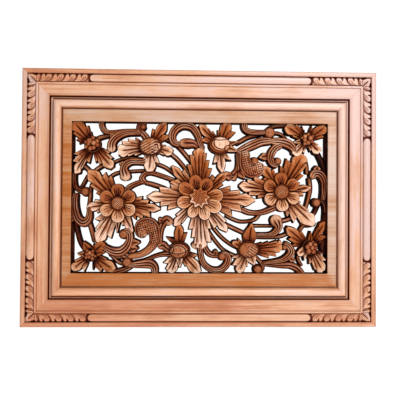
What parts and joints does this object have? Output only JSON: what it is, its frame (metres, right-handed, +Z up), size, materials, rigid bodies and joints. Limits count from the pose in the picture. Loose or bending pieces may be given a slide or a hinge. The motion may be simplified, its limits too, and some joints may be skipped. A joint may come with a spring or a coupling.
{
  "type": "carved wall panel",
  "caption": "Rectangular wall panel: an openwork carved board of flowers, leaves and scrolls in a mitred wooden frame with moulded rails.",
  "frame": {"origin": "on the flat back of the top rail, in the middle of the panel's width and 27 mm below its top edge, where the panel hangs on the wall", "axes": "+X to the right as seen from the front, +Z up, +Y into the wall; the carved front faces -Y"},
  "size_m": [0.7, 0.0382, 0.506],
  "materials": {
    "frame": "satin",
    "moulding": "satin",
    "carving": "satin, dark stain in the recesses"
  },
  "bodies": {
    "root": {"outer_rail_top": "frame", "outer_rail_bottom": "frame", "outer_rail_left": "frame", "outer_rail_right": "frame", "inner_moulding_top": "moulding", "inner_moulding_bottom": "moulding", "inner_moulding_left": "moulding", "inner_moulding_right": "moulding", "carved_board": "carving"}
  },
  "joints": []
}
